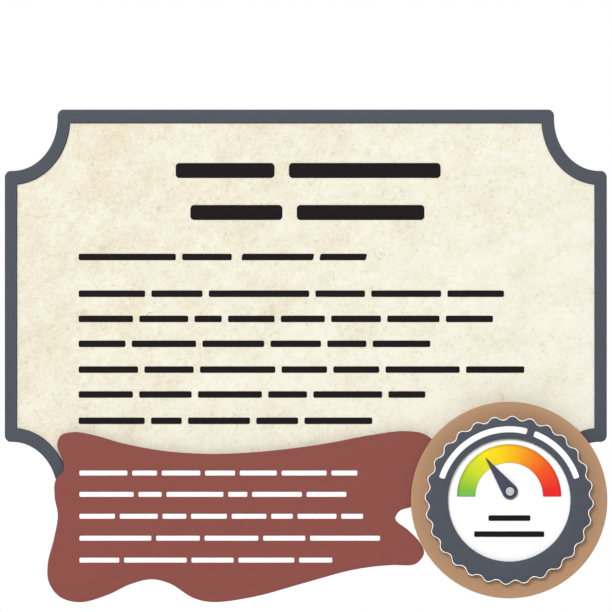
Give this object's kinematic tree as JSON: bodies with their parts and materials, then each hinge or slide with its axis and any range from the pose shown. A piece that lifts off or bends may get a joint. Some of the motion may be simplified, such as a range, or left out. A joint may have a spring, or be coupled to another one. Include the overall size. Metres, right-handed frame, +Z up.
{
  "type": "zoo information sign",
  "caption": "Wall-mounted information sign: notched board with raised border and parchment face, wavy overlaid plaque, and round badge with scalloped ring and a dial with a turning pointer.",
  "frame": {"origin": "centre of the wall cleat's back face, which bears on the wall", "axes": "+X to the viewer's right, +Z up, +Y into the wall; the sign's printed front faces -Y"},
  "size_m": [0.602, 0.0539, 0.4924],
  "materials": {
    "slate_laminate": "slate grey exterior laminate, satin, fine leathery grain, sawn edges",
    "parchment_print": "cream parchment print under a matt protective face, mottled and fibrous",
    "maroon_laminate": "maroon exterior laminate, satin",
    "tan_laminate": "tan exterior laminate, satin",
    "white_laminate": "white laminate, satin, used for the dial, its keyline and the white marks",
    "gauge_colours": "printed band that runs from green through yellow and orange to red",
    "pointer_enamel": "dark slate-blue enamel on aluminium",
    "pin_enamel": "light grey enamelled pin head",
    "ink_black": "near-black raised marks that stand for lines of words",
    "mill_aluminium": "mill-finish aluminium extrusion with drawn lines",
    "fastener_steel": "stainless screws",
    "black_polyethylene": "black polyethylene pads"
  },
  "bodies": {
    "sign": {"backing_board": "slate_laminate", "raised_border": "slate_laminate", "parchment_face": "parchment_print", "maroon_plaque": "maroon_laminate", "badge_disc": "tan_laminate", "dial_plate": "white_laminate", "scalloped_ring": "slate_laminate", "gauge_band": "gauge_colours", "pivot_pin": "pin_enamel", "wall_cleat": "mill_aluminium", "sign_cleat": "mill_aluminium", "left_rail": "mill_aluminium", "middle_rail": "mill_aluminium", "right_rail": "mill_aluminium", "left_standoff": "mill_aluminium", "middle_standoff": "mill_aluminium", "right_standoff": "mill_aluminium", "plaque_spacer_1": "black_polyethylene", "plaque_spacer_2": "black_polyethylene", "badge_spacer_1": "black_polyethylene", "badge_spacer_2": "black_polyethylene"},
    "pointer": {"pointer": "pointer_enamel"}
  },
  "joints": [
    {"name": "pointer_pivot", "type": "hinge", "parent": "sign", "child": "pointer", "pos_m": [0.2037, -0.0514, -0.2796], "axis": [0, 1, 0], "range_deg": [-54, 126]}
  ]
}
